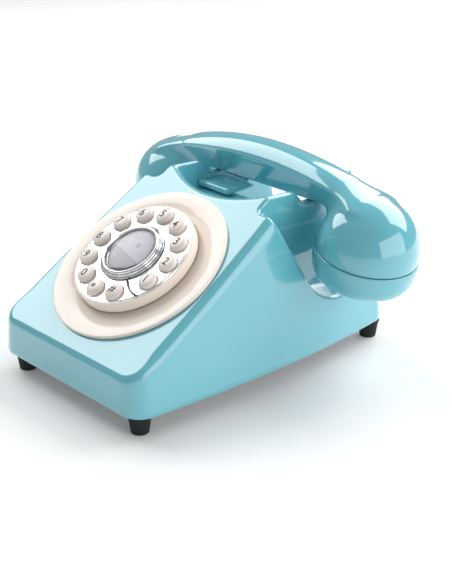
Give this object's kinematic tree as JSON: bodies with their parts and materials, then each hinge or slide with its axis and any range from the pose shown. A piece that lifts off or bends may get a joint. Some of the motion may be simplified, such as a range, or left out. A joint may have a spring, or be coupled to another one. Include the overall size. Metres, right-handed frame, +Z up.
{
  "type": "desk telephone",
  "caption": "Retro desk telephone with a sloping front, a round dial-style push-button keypad and a handset resting across its cradle.",
  "frame": {"origin": "on the table under the middle of the telephone", "axes": "+Z up, +X to the right along the handset, -Y towards the user, where the keypad faces"},
  "size_m": [0.2416, 0.2184, 0.132],
  "materials": {
    "shell_plastic": "polished turquoise moulding",
    "cream_plastic": "cream moulding, satin gloss",
    "key_plastic": "warm cream keys, satin gloss",
    "chrome": "polished",
    "steel": "zinc-plated steel",
    "rubber": "matte black",
    "silicone": "matte grey silicone",
    "board": "green laminate",
    "card": "pale printed card without lettering",
    "clear_plastic": "clear acrylic",
    "black_plastic": "fine matte"
  },
  "bodies": {
    "case": {"upper_case": "shell_plastic", "base_plate": "steel", "foot_front_left": "rubber", "foot_front_right": "rubber", "foot_rear_left": "rubber", "foot_rear_right": "rubber", "case_screw_1": "steel", "case_screw_2": "steel", "case_screw_3": "steel", "case_screw_4": "steel", "dial_plate": "cream_plastic", "keypad_drum": "cream_plastic", "drum_face": "chrome", "keypad_mat": "silicone", "keypad_board": "board", "finger_stop": "chrome", "hub_ring": "chrome", "number_card": "card", "hub_lens": "clear_plastic", "hook_switch": "black_plastic", "main_board": "board", "ringer": "black_plastic", "ballast_plate": "steel", "line_socket": "black_plastic", "base_socket": "black_plastic"},
    "handset": {"handset_body": "shell_plastic", "mouth_cap": "shell_plastic", "ear_cap": "shell_plastic", "microphone": "steel", "receiver": "steel", "handset_weight": "steel", "handset_socket": "black_plastic"},
    "hook": {"hook_paddle": "shell_plastic"},
    "ringer_slider": {"ringer_switch": "black_plastic"},
    "key_1": {"key_1": "key_plastic"},
    "key_2": {"key_2": "key_plastic"},
    "key_3": {"key_3": "key_plastic"},
    "key_4": {"key_4": "key_plastic"},
    "key_5": {"key_5": "key_plastic"},
    "key_6": {"key_6": "key_plastic"},
    "key_7": {"key_7": "key_plastic"},
    "key_8": {"key_8": "key_plastic"},
    "key_9": {"key_9": "key_plastic"},
    "key_0": {"key_0": "key_plastic"},
    "key_star": {"key_star": "key_plastic"},
    "key_hash": {"key_hash": "key_plastic"}
  },
  "joints": [
    {"name": "handset_lift", "type": "slide", "parent": "case", "child": "handset", "axis": [0, 0, 1], "range_m": [0, 0.06]},
    {"name": "hook_rise", "type": "slide", "parent": "case", "child": "hook", "axis": [0, 0, 1], "range_m": [0, 0.004]},
    {"name": "ringer_slide", "type": "slide", "parent": "case", "child": "ringer_slider", "axis": [1, 0, 0], "range_m": [-0.003, 0.003]},
    {"name": "key_1_press", "type": "slide", "parent": "case", "child": "key_1", "axis": [0, 0.527, -0.8499], "range_m": [0, 0.0016], "stiffness_N_per_m": 300},
    {"name": "key_2_press", "type": "slide", "parent": "case", "child": "key_2", "axis": [0, 0.527, -0.8499], "range_m": [0, 0.0016], "stiffness_N_per_m": 300},
    {"name": "key_3_press", "type": "slide", "parent": "case", "child": "key_3", "axis": [0, 0.527, -0.8499], "range_m": [0, 0.0016], "stiffness_N_per_m": 300},
    {"name": "key_4_press", "type": "slide", "parent": "case", "child": "key_4", "axis": [0, 0.527, -0.8499], "range_m": [0, 0.0016], "stiffness_N_per_m": 300},
    {"name": "key_5_press", "type": "slide", "parent": "case", "child": "key_5", "axis": [0, 0.527, -0.8499], "range_m": [0, 0.0016], "stiffness_N_per_m": 300},
    {"name": "key_6_press", "type": "slide", "parent": "case", "child": "key_6", "axis": [0, 0.527, -0.8499], "range_m": [0, 0.0016], "stiffness_N_per_m": 300},
    {"name": "key_7_press", "type": "slide", "parent": "case", "child": "key_7", "axis": [0, 0.527, -0.8499], "range_m": [0, 0.0016], "stiffness_N_per_m": 300},
    {"name": "key_8_press", "type": "slide", "parent": "case", "child": "key_8", "axis": [0, 0.527, -0.8499], "range_m": [0, 0.0016], "stiffness_N_per_m": 300},
    {"name": "key_9_press", "type": "slide", "parent": "case", "child": "key_9", "axis": [0, 0.527, -0.8499], "range_m": [0, 0.0016], "stiffness_N_per_m": 300},
    {"name": "key_0_press", "type": "slide", "parent": "case", "child": "key_0", "axis": [0, 0.527, -0.8499], "range_m": [0, 0.0016], "stiffness_N_per_m": 300},
    {"name": "key_star_press", "type": "slide", "parent": "case", "child": "key_star", "axis": [0, 0.527, -0.8499], "range_m": [0, 0.0016], "stiffness_N_per_m": 300},
    {"name": "key_hash_press", "type": "slide", "parent": "case", "child": "key_hash", "axis": [0, 0.527, -0.8499], "range_m": [0, 0.0016], "stiffness_N_per_m": 300}
  ],
  "couplings": [
    {"joint": "hook_rise", "follows": "handset_lift", "ratio": 0.0666}
  ]
}
